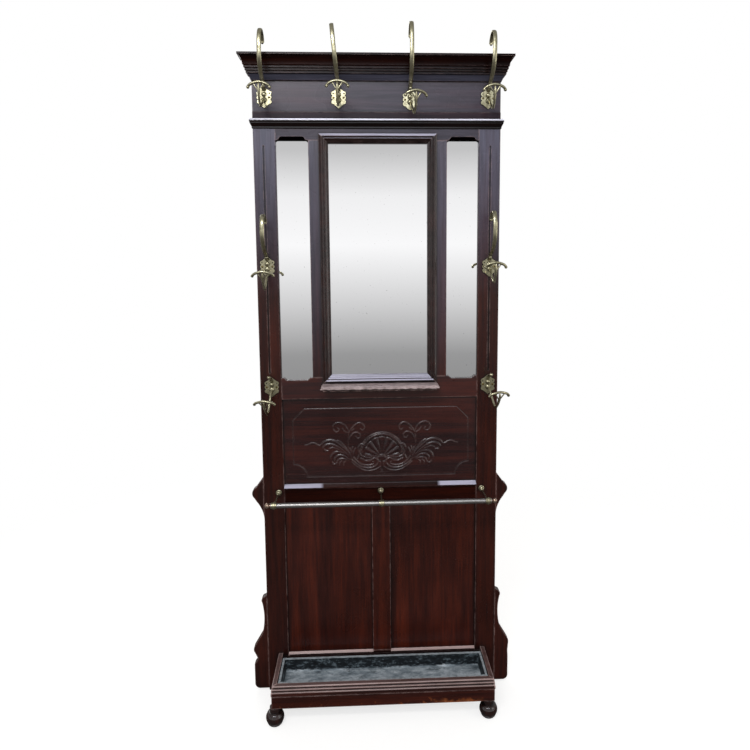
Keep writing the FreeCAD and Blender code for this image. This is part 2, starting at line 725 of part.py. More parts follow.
def make_wing(side, label, chip):
    """Spreading foot board on the stile's outer edge, with a scrolled nub on top."""
    high = S.wing_high
    out = S.wing_out
    nub = S.nub_out
    waist = S.waist_out

    def at(away, level):
        return side * (HALF + away), high * level

    def near_floor(away, level):
        return side * (HALF + away), S.wing_low + high * level

    corners = [
        near_floor(size(0), 0),
        at(size(0), 1.0),
        at(nub * 0.45, 0.985) + (at(nub * 0.95, 0.97),),
        at(nub, 0.925) + (at(waist, 0.72),),
        at(nub * 1.1, 0.605),
        at(out * 0.97, 0.46) + (at(out * 1.0, 0.445),),
        at(out, 0.42),
        at(out - chip, 0.345),
        at(out - chip, 0.325),
        at(out - 1, 0.28),
        near_floor(out - 1, 0.06) + (near_floor(out - 6, 0.015),),
        near_floor(out - 16, 0),
    ]
    part(front_plate(label + "_outline", corners, FRONT, FRONT + S.side_thick), label)


# ---------------------------------------------------------------- umbrella base, tray and feet
def foot_place(side):
    inset = S.left_foot_inset if side < 0 else S.right_foot_inset
    return side * (S.base_half - inset), BASE_FRONT + S.foot_back


def make_base():
    half = S.base_half - S.board_inset
    inner = half - S.board_thick
    face = BASE_FRONT + S.board_inset
    behind = face + S.board_thick
    level = (S.base_low, S.base_board_top)
    dowels = {}
    for side, name in ((-1, "left"), (1, "right")):
        across, deep = foot_place(side)
        dowels[name] = cylinder(name + "_dowel_hole", S.dowel_rad + S.dowel_gap, S.dowel_long + 2,
                                (across, deep, S.base_low - 1))
    front = box("base_front_blank", (-half, half), (face, behind), level)
    part(cut("base_front_cut", front, list(dowels.values())), "base_front")
    for side, name in ((-1, "left"), (1, "right")):
        low, high = sorted((side * half, side * inner), key=lambda edge: edge.value)
        board = box(name + "_base_blank", (low, high), (behind, FRONT), level)
        part(cut(name + "_base_cut", board, [dowels[name]]), f"base_{name}_side")
    part(box("base_back_board", (-inner, inner), (FRONT - S.board_thick, FRONT),
             (S.base_low, S.base_back_top)), "base_back")
    part(box("base_floor_board", (-inner, inner), (behind, FRONT - S.board_thick),
             (S.floor_top - S.floor_thick, S.floor_top)), "base_floor")
    blocks = []
    for side, name in ((-1, "left"), (1, "right")):
        low, high = sorted((side * inner, side * (inner - S.block_size)), key=lambda edge: edge.value)
        level = (S.base_low, S.base_low + S.block_high)
        near = box(name + "_front_block", (low, high), (behind, behind + S.block_size), level)
        blocks.append(cut(name + "_front_block_cut", near, [dowels[name]]))
        blocks.append(box(name + "_back_block", (low, high),
                          (FRONT - S.board_thick - S.block_size, FRONT - S.board_thick), level))
    part(compound("base_blocks", blocks), "base_corner_blocks")


def loft_box(name, half_low, half_top, deep_low, deep_top, high):
    """A box whose sides taper from its bottom rectangle to its top rectangle."""
    owner = body(name)
    rings = []
    for tag, half, deep, level in (("low", half_low, deep_low, high[0]), ("top", half_top, deep_top, high[1])):
        ring = draw(sketch_on(owner, f"{name}_{tag}", "XY_Plane"),
                    [(-half, deep[0]), (half, deep[0]), (half, deep[1]), (-half, deep[1])])
        ring.setExpression("AttachmentOffset.Base.z", size(level).text)
        rings.append(ring)
    loft = owner.newObject("PartDesign::AdditiveLoft", name + "_loft")
    loft.Profile = rings[0]
    loft.Sections = rings[1:]
    loft.Ruled = True
    return owner


def make_tray():
    """Folded sheet-metal drip tray: tapered walls with a turned-over rim, lifts straight out."""
    wall = S.tray_wall
    taper = S.tray_taper
    half = S.base_half - S.board_inset - S.board_thick - S.tray_gap - S.tray_rim
    near = BASE_FRONT + S.board_inset + S.board_thick + S.tray_gap + S.tray_rim
    far = FRONT - S.tray_back - S.tray_rim
    low = S.floor_top + S.tray_lift_gap
    top = S.tray_top
    outer = loft_box("tray_outer", half - taper, half, (near + taper, far - taper), (near, far), (low, top))
    inner = loft_box("tray_inner", half - taper - wall, half - wall,
                     (near + taper + wall, far - taper - wall), (near + wall, far - wall),
                     (low + wall, top + 0.01))
    rim = box("tray_rim", (-half - S.tray_rim, half + S.tray_rim), (near - S.tray_rim, far + S.tray_rim),
              (top - wall, top))
    hole = box("tray_rim_hole", (-half + wall, half - wall), (near + wall, far - wall),
               (top - wall - 1, top + 1))
    lip = cut("tray_rim_cut", rim, [hole])
    shell = cut("tray_shell", outer, [inner])
    part(fused("tray_body", [shell, lip]), "drip_tray")


def foot_profile():
    """A flattened bun with a scribed ring low down, under a straight neck with a dowel on top."""
    pad_rad = S.foot_pad
    bulb = S.foot_bulb
    neck = S.foot_neck
    top = S.base_low
    low_girth = bulb * 0.86
    return [
        (0, 0), (pad_rad, 0, (bulb * 0.73, top * 0.06)), (low_girth, top * 0.17),
        (low_girth - 1, top * 0.19), (low_girth + 0.6, top * 0.21, (bulb, top * 0.38)),
        (bulb * 0.9, top * 0.61, (bulb * 0.8, top * 0.69)), (neck, top * 0.74),
        (neck, top), (S.dowel_rad, top), (S.dowel_rad, top + S.dowel_long), (0, top + S.dowel_long),
    ]


def make_feet():
    for side, name in ((-1, "left"), (1, "right")):
        across, deep = foot_place(side)
        part(turned(name + "_foot_turning", foot_profile(), (across, deep, 0)), name + "_foot")


# ---------------------------------------------------------------- umbrella rail
def make_bracket(label, across):
    """Cast bracket: rosette on the wood, beaded stem and a ring that holds the tube."""
    out = S.rail_out
    start = S.stud_long
    profile = [
        (0, -start), (S.stud_rad, -start), (S.stud_rad, 0), (S.rosette_rad, 0),
        (S.rosette_rad, 2), (S.rosette_rad - 2, 3, (S.rosette_rad - 1.6, 7)), (4, 11), (3.2, 12),
        (3.2, 13), (3.6, 14, (5, 16.5)), (3.6, 19), (S.stem_rad, 20),
        (S.stem_rad, out - S.ring_rad - 3), (4.2, out - S.ring_rad - 2), (4.2, out - S.ring_rad + 2),
        (0, out - S.ring_rad + 2),
    ]
    stem = turned(label + "_stem", profile, (size(0), size(0), size(0)))
    stem.Placement.Rotation = FreeCAD.Rotation(V(1, 0, 0), 90)
    place(stem, across, FRONT, S.rail_up)
    deep = FRONT - out
    half = S.ring_wide / 2
    collar = cylinder(label + "_collar", S.ring_rad - 1.5, S.ring_wide, (across - half, deep, S.rail_up), "x")
    bead = cylinder(label + "_bead", S.ring_rad, S.ring_wide * 0.4,
                    (across - half * 0.4, deep, S.rail_up), "x")
    bore = cylinder(label + "_bore", S.tube_rad + S.slip, S.ring_wide + 2,
                    (across - half - 1, deep, S.rail_up), "x")
    part(cut(label + "_cut", fused(label + "_blank", [stem, collar, bead]), [bore]), label)


def make_rail():
    deep = FRONT - S.rail_out
    reach = S.bracket_at + S.ring_wide / 2 + S.tube_past
    outer = cylinder("tube_outer", S.tube_rad, 2 * reach, (-reach, deep, S.rail_up), "x")
    inner = cylinder("tube_inner", S.tube_rad - S.tube_wall, 2 * reach + 2,
                     (-reach - 1, deep, S.rail_up), "x")
    part(cut("tube_cut", outer, [inner]), "umbrella_tube")
    for label, across in (("left_bracket", -S.bracket_at), ("centre_bracket", size(0)),
                          ("right_bracket", S.bracket_at)):
        make_bracket(label, across)
    plug = S.tube_rad - S.tube_wall - S.slip
    ball = S.ball_rad
    centre = S.ball_past - S.ring_wide / 2 - S.tube_past
    neck = ball * math.cos(BALL_NECK_ANGLE)
    profile = [
        (0, -12), (plug, -12), (plug, 0), (S.tube_rad, 0), (S.tube_rad, 1.5), (neck, 2.5),
        (neck, centre - ball * math.sin(BALL_NECK_ANGLE), (ball, centre)), (0, centre + ball),
    ]
    for side, name in ((-1, "left"), (1, "right")):
        finial = turned(name + "_finial_turning", profile, (size(0), size(0), size(0)))
        finial.Placement.Rotation = FreeCAD.Rotation(V(0, 1, 0), 90 * side)
        place(finial, side * reach, deep, S.rail_up)
        part(finial, name + "_finial")


# ---------------------------------------------------------------- brass hooks
def hook_point(across, out, up):
    """A place on a hook, given across, outwards from the wall and up."""
    return V(across, -out, up)


def rod(points, radius, flat=1.0):
    """A rod of round or flattened section along a smooth line through points."""
    curve = Part.BSplineCurve()
    curve.interpolate(points)
    path = Part.Wire([curve.toShape()])
    start = curve.value(curve.FirstParameter)
    along = curve.tangent(curve.FirstParameter)[0]
    sideways = V(1, 0, 0) if abs(along.x) < 0.5 else V(0, 0, 1)
    if flat == 1.0:
        section = Part.Wire([Part.Circle(start, along, radius).toShape()])
    else:
        across = sideways.cross(along)
        section = Part.Wire([Part.Ellipse(start + sideways * radius, start + across * radius * flat,
                                          start).toShape()])
    return path.makePipeShell([section], True, False)


def bar_between(start, end, radius, tip=None):
    """A straight round bar, tapered if a second radius is given."""
    along = end - start
    if tip is None:
        return Part.makeCylinder(radius, along.Length, start, along)
    return Part.makeCone(radius, tip, along.Length, start, along)


def hook_plate():
    """Back plate: pointed top and foot, three pierced lobes down each side, domed middle."""
    half = S.plate_half.value
    tall = S.plate_high.value / 2
    thick = S.plate_thick.value
    shoulder = S.lobe_pitch.value + S.lobe_rad.value
    rim = [hook_point(x, 0, z) for x, z in ((0, tall), (half, shoulder), (half, -shoulder), (0, -tall),
                                            (-half, -shoulder), (-half, shoulder), (0, tall))]
    plate = Part.Face(Part.makePolygon(rim)).extrude(V(0, -thick, 0))
    lobes = []
    holes = []
    for side in (-1, 1):
        for step in (-1, 0, 1):
            middle = hook_point(side * half, 0, step * S.lobe_pitch.value)
            lobes.append(Part.makeCylinder(S.lobe_rad.value, thick, middle, V(0, -1, 0)))
            if step > 0:
                spot = hook_point(side * (half + 1), -1, step * S.lobe_pitch.value)
                holes.append(Part.makeCylinder(S.lobe_hole.value, thick + 2, spot, V(0, -1, 0)))
            if step == 0:
                spot = hook_point(side * half, -1, 0)
                holes.append(Part.makeCylinder(S.screw_rad.value + S.slip.value, thick + 2, spot,
                                               V(0, -1, 0)))
    domes = [Part.makeSphere(8, hook_point(0, thick - 2, 9)), Part.makeSphere(9, hook_point(0, thick - 3, -7))]
    floor = Part.makeBox(60, 20, 100, V(-30, 0, -50))
    domes = [dome.cut(floor) for dome in domes]
    return plate.fuse(lobes + domes).cut(holes)


def umbrella_arm(droop, turn):
    """Lower arm: a stem that dips to a point and rises to a drooping crescent."""
    reach = S.hook_reach.value
    stem = rod([hook_point(0, 1, -6), hook_point(0, 26, -16), hook_point(0, 54, -34),
                hook_point(0, 77, -43), hook_point(0, 92, -30), hook_point(0, reach, 12)], 3.4)
    front = bar_between(hook_point(0, 86, -46), hook_point(0, reach, -8), 1.2, 4.6)
    half = S.crescent_half.value
    ring = S.crescent_rad.value
    crown = 17.5
    end = crown - S.crescent_drop.value

    def bow_point(share, back, level):
        return hook_point(half * share, reach - back, end + (crown - end) * level)

    right = [bow_point(0.5, 0, 0.78), bow_point(0.85, 2, 0.4), bow_point(1, 4, 0)]
    left = [V(-point.x, point.y, point.z) for point in reversed(right)]
    bow = rod(left + [bow_point(0, 0, 1)] + right, ring)
    pieces = [front, bow]
    for side in (-1, 1):
        pieces.append(Part.makeSphere(ring * 1.15, hook_point(side * half, reach - 4, end - 0.5)))
        pieces.append(bar_between(bow_point(side * 0.5, 0, 0.7), hook_point(0, reach, -9), 2.0))
    arm = stem.fuse(pieces)
    arm.rotate(V(0, 0, -6), V(1, 0, 0), droop)
    arm.rotate(V(0, 0, 0), V(0, 0, 1), turn)
    return arm


def coat_arm(rise, lean):
    """Upper arm: a flat ribbon that bows forwards and curls back over to a small knob."""
    reach = S.arm_reach.value
    foot = 22
    stretch = (rise - foot) / ARM_TALL
    route = [(0.01, -3), (0.34, 17), (0.74, 36), (0.95, 62), (1.0, 94), (0.94, 124), (0.72, 142),
             (0.45, 137), (0.29, 119)]
    points = [hook_point(lean * up / ARM_TALL, reach * out, foot + up * stretch) for out, up in route]
    ribbon = rod(points, S.arm_half.value, S.arm_thin.value / S.arm_half.value)
    knuckles = [Part.makeSphere(5.6, (points[0] + points[1]) * 0.5), Part.makeSphere(5.0, points[1])]
    return ribbon.fuse([Part.makeSphere(4.6, points[-1])] + knuckles)


def stub_arm():
    """What is left of a coat arm that has broken off: a short finger with a knob."""
    finger = rod([hook_point(0, 2, 18), hook_point(0, 24, 32), hook_point(0, 52, 40)], 4.0)
    return finger.fuse([Part.makeSphere(5.4, hook_point(0, 55, 40.5)),
                        Part.makeSphere(5.2, hook_point(0, 14, 27))])


def make_hooks():
    screws = []
    for row in HOOKS:
        label = row[0]
        rise, lean, droop, turn = row[5:]
        across, high = hook_place(row)
        on_frieze = label.startswith("frieze")
        face = FRONT + S.frieze_setback if on_frieze else FRONT
        arm = coat_arm(rise, lean) if rise else stub_arm()
        wood = Part.makeBox(200, 60, 400, V(-100, 0, -150))
        shape = hook_plate().fuse([umbrella_arm(droop, turn), arm]).cut(wood).removeSplitter()
        hook = solid_of(label + "_casting", shape)
        part(place(hook, across, face, high), label)
        for place_x, place_z in hook_screw_places(label):
            top = V(place_x, face.value - S.plate_thick.value, place_z)
            shank = Part.makeCylinder(S.screw_rad.value, S.plate_thick.value + S.screw_long.value, top,
                                      V(0, 1, 0))
            head = Part.makeSphere(S.screw_head.value, top + V(0, 2.2, 0))
            slab = Part.makeBox(12, 12, 12, top - V(6, 12, 6))
            screws.append(shank.fuse(head.common(slab)))
    part(solid_of("hook_screw_set", Part.makeCompound(screws)), "hook_screws")


# ---------------------------------------------------------------- build, check and export
def export():
    doc.recompute()
    for thing in doc.Objects:
        bad = [word for word in thing.State if word in ("Invalid", "Error")]
        if bad:
            raise RuntimeError(f"{thing.Name} ({thing.Label}) is {bad}")
    for thing in PARTS:
        if thing.Shape.isNull() or not thing.Shape.isValid() or not thing.Shape.Solids:
            raise RuntimeError(f"{thing.Label} has no valid shape")
    for thing in PARTS:
        thing.Shape.exportStep(os.path.join("parts", thing.Label + ".step"))
        print(f"{thing.Label}: {len(thing.Shape.Solids)} solid(s), {thing.Shape.Volume / 1000:.1f} cm3")
    print(f"{len(PARTS)} nodes")


make_frame()
make_infill()
make_frieze()
make_mouldings()
make_mirror_moulding()
make_sill_and_shelf()
make_ear(-1, "left_ear")
make_ear(1, "right_ear")
make_wing(-1, "left_wing", S.left_chip)
make_wing(1, "right_wing", S.right_chip)
make_base()
make_tray()
make_feet()
make_rail()
make_hooks()
export()
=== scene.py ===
"""Hall tree with hooks: finishes, carved panel, worn shelf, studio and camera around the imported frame.

Units are metres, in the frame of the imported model.  The carving is laid out in millimetres from
the middle of its shell.
"""
import math

import bpy
import numpy as np
from mathutils import Matrix, Vector


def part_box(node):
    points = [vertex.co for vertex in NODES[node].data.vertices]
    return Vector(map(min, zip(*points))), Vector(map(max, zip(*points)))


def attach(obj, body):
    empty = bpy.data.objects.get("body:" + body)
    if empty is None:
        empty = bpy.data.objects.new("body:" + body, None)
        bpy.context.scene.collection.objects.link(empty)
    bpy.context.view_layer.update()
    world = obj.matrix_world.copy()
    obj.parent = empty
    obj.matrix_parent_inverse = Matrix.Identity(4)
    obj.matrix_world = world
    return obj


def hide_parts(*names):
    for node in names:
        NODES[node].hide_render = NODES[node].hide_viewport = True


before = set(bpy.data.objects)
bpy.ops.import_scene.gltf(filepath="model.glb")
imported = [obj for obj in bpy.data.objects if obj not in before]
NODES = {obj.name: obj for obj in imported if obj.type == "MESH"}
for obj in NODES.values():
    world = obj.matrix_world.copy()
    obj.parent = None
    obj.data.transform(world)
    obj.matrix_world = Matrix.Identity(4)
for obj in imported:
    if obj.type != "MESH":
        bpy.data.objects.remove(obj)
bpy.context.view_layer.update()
MM = 0.001


def rgb(red, green, blue):
    """A display colour, 0 to 255, as the linear colour that a shader takes."""
    def linear(value):
        value = value / 255
        return value / 12.92 if value <= 0.04045 else ((value + 0.055) / 1.055) ** 2.4

    return (linear(red), linear(green), linear(blue), 1.0)


# ---------------------------------------------------------------- shader short hand
class Graph:
    """Builds a shader's nodes; sockets and plain values are given to it alike."""

    def __init__(self, tree):
        self.tree = tree
        tree.nodes.clear()

    def node(self, kind, inputs=(), **settings):
        made = self.tree.nodes.new("ShaderNode" + kind)
        for key, value in settings.items():
            setattr(made, key, value)
        for key, value in dict(inputs).items():
            self.feed(made.inputs[key], value)
        return made

    def feed(self, socket, value):
        if isinstance(value, bpy.types.NodeSocket):
            self.tree.links.new(value, socket)
        else:
            socket.default_value = value

    def calc(self, operation, *values):
        made = self.tree.nodes.new("ShaderNodeMath")
        made.operation = operation
        for socket, value in zip(made.inputs, values):
            self.feed(socket, value)
        return made.outputs[0]

    def blend(self, amount, first, second, mode="MIX"):
        made = self.node("Mix", data_type="RGBA", blend_type=mode)
        for index, value in ((0, amount), (6, first), (7, second)):
            self.feed(made.inputs[index], value)
        return made.outputs[2]

    def noise(self, vector, scale, detail=2.0, rough=0.5, distortion=0.0):
        inputs = {"Vector": vector, "Scale": scale, "Detail": detail, "Roughness": rough,
                  "Distortion": distortion}
        return self.node("TexNoise", inputs).outputs["Fac"]

    def spread(self, value, low, high, to_low=0.0, to_high=1.0):
        inputs = {"Value": value, "From Min": low, "From Max": high, "To Min": to_low, "To Max": to_high}
        return self.node("MapRange", inputs).outputs["Result"]

    def ramp(self, value, *stops):
        made = self.node("ValToRGB", {"Fac": value})
        elements = made.color_ramp.elements
        while len(elements) < len(stops):
            elements.new(0.5)
        for element, (place, colour) in zip(elements, stops):
            element.position = place
            element.color = colour
        return made.outputs["Color"]

    def axes(self, vector):
        return self.node("SeparateXYZ", {"Vector": vector}).outputs


def new_material(name):
    material = bpy.data.materials.new(name)
    material.use_nodes = True
    graph = Graph(material.node_tree)
    output = graph.node("OutputMaterial")
    return material, graph, output


def finish_with(graph, output, shader):
    graph.tree.links.new(shader.outputs[0], output.inputs["Surface"])


def convex_edges(graph, reach):
    """1 along outer edges and 0 on flats: how much of the solid lies close behind the surface."""
    inside = graph.node("AmbientOcclusion", {"Distance": reach}, samples=4, inside=True, only_local=True)
    return graph.spread(inside.outputs["AO"], 0.95, 0.55)


def corners(graph, reach):
    """1 deep in corners and crevices and 0 in the open."""
    around = graph.node("AmbientOcclusion", {"Distance": reach}, samples=4)
    return graph.spread(around.outputs["AO"], 0.95, 0.35)


# ---------------------------------------------------------------- wood
DARK = rgb(24, 8, 7)
MAHOGANY = rgb(50, 18, 12)
WARM = rgb(76, 28, 15)
# pale pinkish edge colour: real wear of the polish and a painted highlight on the arrises
WORN_EDGE_AND_GLINT = rgb(186, 156, 150)
BLEACHED = rgb(176, 158, 156)
RUBBED = rgb(150, 82, 40)
# near-black: the wood's pores, and painted shade in corners, in gaps and over the side mirrors' arches
PORE_AND_SHADE_BLACK = rgb(5, 3, 3)
# bluish grey of the painted sheen, a painted reflection of cool light in the polish
SKY_SHEEN_BLUE = rgb(98, 100, 118)
# painted highlight colours for the faces of mouldings that look up
GLINT = rgb(196, 193, 212)
WHITE_GLINT = rgb(240, 238, 252)
PINK_GLINT = rgb(206, 178, 172)


def wood(name, grain, seed, shade=1.0, gloss=0.4, rough=0.26, edge_wear_and_glint=0.35, round_off=1.2 * MM,
         chips=None, bleach=None, painted_sky_sheen=None, painted_ledge_glint=None, arris=3.5 * MM):
    """French-polished mahogany whose grain runs along one axis.

    chips is the height below which a board's foot is knocked and rubbed pale; bleach is the height
    above which a shelf is worn grey; bloom is (amount, height where it starts, height where it is
    full) of a painted bluish sheen, a painted reflection of cool light in the polish; ledge is (amount,
    colour, half width left bare in the middle, share kept on level faces) of a painted highlight on
    faces that look up; arris is how far the pale edge, worn and painted as a highlight, runs back from an edge."""
    material, g, output = new_material(name)
    place = g.node("TexCoord").outputs["Object"]
    along = {"x": (0.05, 1, 1), "y": (1, 0.05, 1), "z": (1, 1, 0.05)}[grain]
    offset = (seed * 0.37, seed * 0.61, seed * 0.23)
    board = g.node("Mapping", {"Vector": place, "Location": offset, "Scale": along}).outputs[0]
    free = g.node("Mapping", {"Vector": place, "Location": offset}).outputs[0]

    ribbon = g.noise(board, 22, 3, 0.55, 0.5)
    streak = g.noise(board, 150, 4, 0.6)
    fibre = g.noise(board, 900, 2, 0.6)
    cloud = g.noise(free, 3.1, 3, 0.6)
    figure = g.calc("ADD", g.calc("MULTIPLY", ribbon, 0.62), g.calc("MULTIPLY", streak, 0.38))
    tint = g.ramp(figure, (0.30, DARK), (0.47, MAHOGANY), (0.66, WARM))
    light = g.calc("MULTIPLY", g.spread(cloud, 0.3, 0.7, 0.78, 1.22), g.spread(fibre, 0.3, 0.7, 0.88, 1.12))
    # shade sets each part's brightness: partly the wood's own tone and partly painted light and shade, set part by
    # part
    light = g.calc("MULTIPLY", light, shade)
    tint = g.blend(1.0, tint, g.node("CombineColor", {"Red": light, "Green": light, "Blue": light}).outputs[0],
                   "MULTIPLY")
    pores = g.spread(g.noise(board, 1500, 1, 0.5), 0.36, 0.30)
    tint = g.blend(g.calc("MULTIPLY", pores, 0.55), tint, PORE_AND_SHADE_BLACK)

    height = g.axes(place)["Z"]
    # painted reflection: a bluish sheen laid into the colour, growing with height, for the cool light seen in the
    # polish
    if painted_sky_sheen is not None:
        amount, start, full = painted_sky_sheen
        painted_sheen_share = g.calc("MULTIPLY", g.spread(height, start, full), g.spread(streak, 0.3, 0.7, 0.72, 1.28))
        tint = g.blend(g.calc("MINIMUM", g.calc("MULTIPLY", painted_sheen_share, amount), 0.95), tint, SKY_SHEEN_BLUE)
    # painted shade: the wood darkened towards black in corners and hollows where shade falls; the same mask
    # roughens the polish there
    painted_corner_shade = corners(g, 26 * MM)
    tint = g.blend(g.calc("MULTIPLY", painted_corner_shade, 0.85), tint, PORE_AND_SHADE_BLACK)
    # painted shade: near-black lines in narrow gaps, in joints and around the carving, for the contact shadow there
    painted_gap_shade = g.spread(corners(g, 5 * MM), 0.2, 0.65)
    tint = g.blend(g.calc("MULTIPLY", painted_gap_shade, 0.9), tint, PORE_AND_SHADE_BLACK)
    # pale arrises: partly real wear of the polish and partly a painted highlight, the gloss that rounded edges
    # catch
    patchy = g.spread(g.noise(free, 42, 4, 0.65), 0.36, 0.60)
    edge = g.calc("MULTIPLY", g.calc("MULTIPLY", convex_edges(g, arris), patchy), edge_wear_and_glint)
    tint = g.blend(edge, tint, WORN_EDGE_AND_GLINT)
    # painted highlight: a pale glint laid on faces that look up, for the light the mouldings catch; on the sill it
    # is left out in the middle, where the shelf shades it
    if painted_ledge_glint is not None:
        amount, colour, bare, flat = painted_ledge_glint
        tilt = g.axes(g.node("NewGeometry").outputs["Normal"])["Z"]
        lit = g.calc("MULTIPLY", g.spread(tilt, 0.05, 0.3), g.spread(tilt, 0.97, 0.85, flat, 1.0))
        lit = g.calc("MULTIPLY", lit, g.spread(g.noise(board, 30, 3, 0.6), 0.34, 0.52, 0.45, 1.0))
        if bare:
            beside = g.calc("ABSOLUTE", g.axes(place)["X"])
            lit = g.calc("MULTIPLY", lit, g.spread(beside, bare, bare + 12 * MM, 0.0, 1.0))
        tint = g.blend(g.calc("MULTIPLY", lit, amount), tint, colour)
    if chips is not None:
        ragged = g.calc("ADD", height, g.calc("MULTIPLY", g.calc("SUBTRACT", g.noise(free, 26, 5, 0.7), 0.5), 0.05))
        beside = g.calc("ABSOLUTE", g.calc("SUBTRACT", g.axes(place)["X"], 0.232))
        patch = g.calc("ADD", g.spread(beside, 0.085, 0.035), g.spread(g.noise(free, 60, 3, 0.6), 0.60, 0.68))
        rubbed = g.calc("MULTIPLY", g.spread(ragged, chips + 4 * MM, chips - 5 * MM), patch)
        tint = g.blend(g.calc("MINIMUM", g.calc("MULTIPLY", rubbed, 0.75), 0.8), tint, RUBBED)
    if bleach is not None:
        bare = g.calc("MULTIPLY", g.spread(height, bleach - 2 * MM, bleach + 1 * MM),
                      g.spread(g.noise(free, 38, 5, 0.7), 0.30, 0.62, 0.35, 1.0))
        tint = g.blend(bare, tint, BLEACHED)

    dull = g.calc("ADD", g.spread(cloud, 0.3, 0.7, rough - 0.05, rough + 0.08), g.calc("MULTIPLY", edge, 0.2))
    dull = g.calc("ADD", dull, g.calc("MULTIPLY", painted_corner_shade, 0.2))
    soft = g.node("Bevel", {"Radius": round_off}, samples=4).outputs[0]
    ripple = g.node("Bump", {"Strength": 0.03, "Distance": 2 * MM, "Height": g.noise(free, 8, 1, 0.5),
                             "Normal": soft}).outputs[0]
    texture = g.calc("SUBTRACT", g.calc("MULTIPLY", fibre, 0.4), g.calc("MULTIPLY", pores, 0.8))
    skin = g.node("Bump", {"Strength": 0.25, "Distance": 0.12 * MM, "Height": texture,
                           "Normal": ripple}).outputs[0]
    shader = g.node("BsdfPrincipled", {"Base Color": tint, "Roughness": dull, "Normal": skin,
                                       "Specular IOR Level": gloss})
    finish_with(g, output, shader)
    return material


def pine(name, seed):
    """Bare, dusty backing board."""
    material, g, output = new_material(name)
    place = g.node("TexCoord").outputs["Object"]
    offset = (seed * 0.41, seed * 0.17, seed * 0.29)
    board = g.node("Mapping", {"Vector": place, "Location": offset, "Scale": (1, 1, 0.06)}).outputs[0]
    rings = g.noise(board, 34, 4, 0.6, 1.2)
    tint = g.ramp(rings, (0.32, rgb(74, 48, 28)), (0.5, rgb(118, 84, 52)), (0.66, rgb(140, 104, 68)))
    dust = g.spread(g.noise(place, 7, 4, 0.6), 0.4, 0.7)
    tint = g.blend(g.calc("MULTIPLY", dust, 0.35), tint, rgb(96, 84, 70))
    # painted shade: darker towards black in the backing's corners and along the frame
    tint = g.blend(g.calc("MULTIPLY", corners(g, 30 * MM), 0.6), tint, PORE_AND_SHADE_BLACK)
    skin = g.node("Bump", {"Strength": 0.4, "Distance": 0.4 * MM, "Height": g.noise(board, 400, 2)}).outputs[0]
    shader = g.node("BsdfPrincipled", {"Base Color": tint, "Roughness": 0.8, "Normal": skin,
                                       "Specular IOR Level": 0.25})
    finish_with(g, output, shader)
    return material


# ---------------------------------------------------------------- metal and glass
def metal(name, bright, dull, seed, rough=0.3, patina=0.55, stretch=(1, 1, 1), spots=0.0, round_off=0.5 * MM):
    """Metal with patchy patina, dark crevices and edges rubbed bright."""
    material, g, output = new_material(name)
    place = g.node("TexCoord").outputs["Object"]
    board = g.node("Mapping", {"Vector": place, "Location": (seed * 0.3, seed * 0.7, 0),
                               "Scale": stretch}).outputs[0]
    mottle = g.noise(board, 85, 5, 0.65)
    tint = g.blend(g.calc("MULTIPLY", g.spread(mottle, 0.38, 0.66), patina), bright, dull)
    crevice = corners(g, 6 * MM)
    tint = g.blend(g.calc("MULTIPLY", crevice, 0.75), tint, rgb(30, 26, 16))
    edge = g.calc("MULTIPLY", convex_edges(g, 1.2 * MM), 0.5)
    tint = g.blend(edge, tint, bright)
    if spots:
        speck = g.spread(g.noise(place, 260, 2, 0.5), 0.66, 0.72)
        tint = g.blend(g.calc("MULTIPLY", speck, spots), tint, rgb(60, 40, 28))
    roughness = g.spread(mottle, 0.3, 0.7, rough - 0.06, rough + 0.16)
    roughness = g.calc("ADD", roughness, g.calc("MULTIPLY", crevice, 0.2))
    soft = g.node("Bevel", {"Radius": round_off}, samples=4).outputs[0]
    skin = g.node("Bump", {"Strength": 0.18, "Distance": 0.3 * MM, "Height": g.noise(board, 340, 3),
                           "Normal": soft}).outputs[0]
    shader = g.node("BsdfPrincipled", {"Base Color": tint, "Roughness": roughness, "Normal": skin})
    shader.inputs["Metallic"].default_value = 1.0
    finish_with(g, output, shader)
    return material


def mirror_glass(name, silver=None):
    """Silvered plate with a faint smear of polish and a few dark specks.

    silver, if given, is (middle, half width, top, corner radius) of a silvered field; above it the
    plate is painted near-black, a painted shade for the shadow under the rail's arch."""
    material, g, output = new_material(name)
    place = g.node("TexCoord").outputs["Object"]
    smear = g.noise(place, 6, 3, 0.6, 0.6)
    speck = g.spread(g.noise(place, 240, 1, 0.5), 0.77, 0.80)
    tint = g.blend(g.calc("MULTIPLY", speck, 0.5), rgb(247, 247, 247), rgb(70, 68, 64))
    if silver is not None:
        middle, half, top, corner = silver
        at = g.axes(place)
        beside = g.calc("SUBTRACT", g.calc("ABSOLUTE", g.calc("SUBTRACT", at["X"], middle)), half - corner)
        above = g.calc("MAXIMUM", g.calc("SUBTRACT", at["Z"], top - corner), 0.0)
        beside = g.calc("MAXIMUM", beside, 0.0)
        away = g.calc("SQRT", g.calc("ADD", g.calc("MULTIPLY", beside, beside), g.calc("MULTIPLY", above, above)))
        # painted shade: near-black above the silvered field, for the shadow of the rail's arch on the glass
        tint = g.blend(g.spread(away, corner - 0.4 * MM, corner + 0.8 * MM), tint, PORE_AND_SHADE_BLACK)
    shader = g.node("BsdfPrincipled", {"Base Color": tint, "Roughness": g.spread(smear, 0.4, 0.8, 0.0, 0.05)})
    shader.inputs["Metallic"].default_value = 1.0
    finish_with(g, output, shader)
    return material


